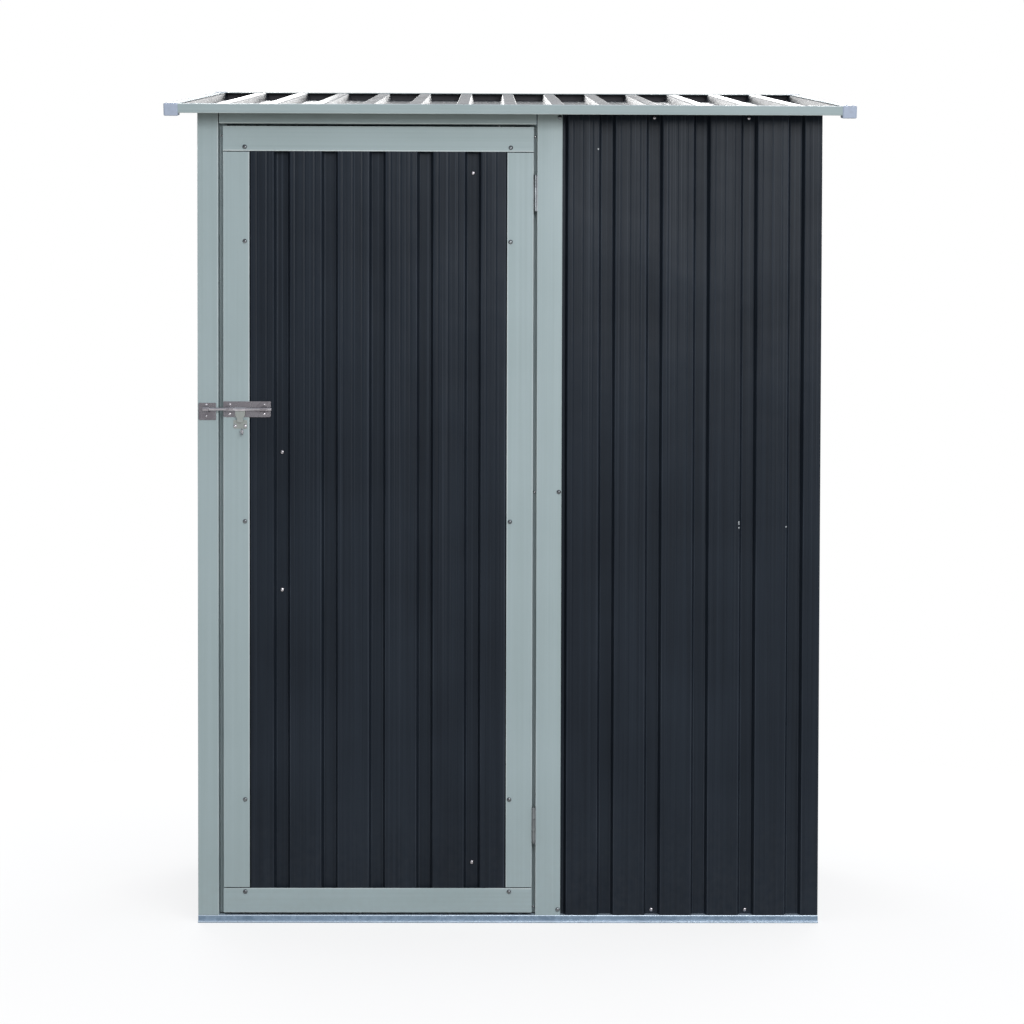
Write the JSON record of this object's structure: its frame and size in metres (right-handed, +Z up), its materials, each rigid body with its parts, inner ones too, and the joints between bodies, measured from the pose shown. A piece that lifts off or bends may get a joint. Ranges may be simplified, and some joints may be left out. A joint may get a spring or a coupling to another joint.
{
  "type": "metal tool shed",
  "caption": "Lean-to metal tool shed of dark ribbed sheet with a pale framed door, a slide bolt and a sloping ribbed roof.",
  "frame": {"origin": "middle of the shed's footprint, under the roof's outline, at ground level", "axes": "+Z up, +X to the right along the front, +Y from the front to the back"},
  "size_m": [1.43, 0.889, 1.8704],
  "materials": {
    "ribbed_sheet": "satin anthracite paint on ribbed steel sheet",
    "pale_trim": "satin pale grey paint on folded steel",
    "galvanised_rail": "dull galvanised folded steel",
    "cap_plastic": "moulded pale plastic",
    "zinc_steel": "zinc plated steel"
  },
  "bodies": {
    "shed": {"front_wall_panel": "ribbed_sheet", "left_wall_panel": "ribbed_sheet", "right_wall_panel": "ribbed_sheet", "back_wall_panel_left": "ribbed_sheet", "back_wall_panel_right": "ribbed_sheet", "roof_panel_left": "ribbed_sheet", "roof_panel_right": "ribbed_sheet", "latch_post": "pale_trim", "door_jamb": "pale_trim", "door_header": "pale_trim", "roof_trim_front": "pale_trim", "roof_trim_back": "pale_trim", "roof_trim_left": "pale_trim", "roof_trim_right": "pale_trim", "base_rail_front": "galvanised_rail", "base_rail_back": "galvanised_rail", "base_rail_left": "galvanised_rail", "base_rail_right": "galvanised_rail", "top_rail_front": "galvanised_rail", "top_rail_back": "galvanised_rail", "top_rail_left": "galvanised_rail", "top_rail_right": "galvanised_rail", "roof_cap_front_left": "cap_plastic", "roof_cap_front_right": "cap_plastic", "roof_cap_back_left": "cap_plastic", "roof_cap_back_right": "cap_plastic", "hinge_upper_jamb_leaf": "zinc_steel", "hinge_lower_jamb_leaf": "zinc_steel", "bolt_keeper": "zinc_steel"},
    "door": {"door_panel": "ribbed_sheet", "door_stile_latch": "pale_trim", "door_stile_hinge": "pale_trim", "door_rail_top": "pale_trim", "door_rail_bottom": "pale_trim", "door_brace_upper": "galvanised_rail", "door_brace_lower": "galvanised_rail", "hinge_upper_door_leaf": "zinc_steel", "hinge_lower_door_leaf": "zinc_steel", "bolt_plate": "zinc_steel", "bolt_staple": "zinc_steel"},
    "bolt": {"bolt_rod": "zinc_steel"},
    "tab": {"bolt_tab": "zinc_steel"}
  },
  "joints": [
    {"name": "door_swing", "type": "hinge", "parent": "shed", "child": "door", "pos_m": [0.05275, -0.385, 0.85], "axis": [0, 0, 1], "range_deg": [0, 160]},
    {"name": "bolt_slide", "type": "slide", "parent": "door", "child": "bolt", "axis": [1, 0, 0], "range_m": [0, 0.025]},
    {"name": "tab_lift", "type": "hinge", "parent": "bolt", "child": "tab", "pos_m": [-0.5635, -0.38915, 1.0798], "axis": [-1, 0, 0], "range_deg": [0, 100]}
  ]
}
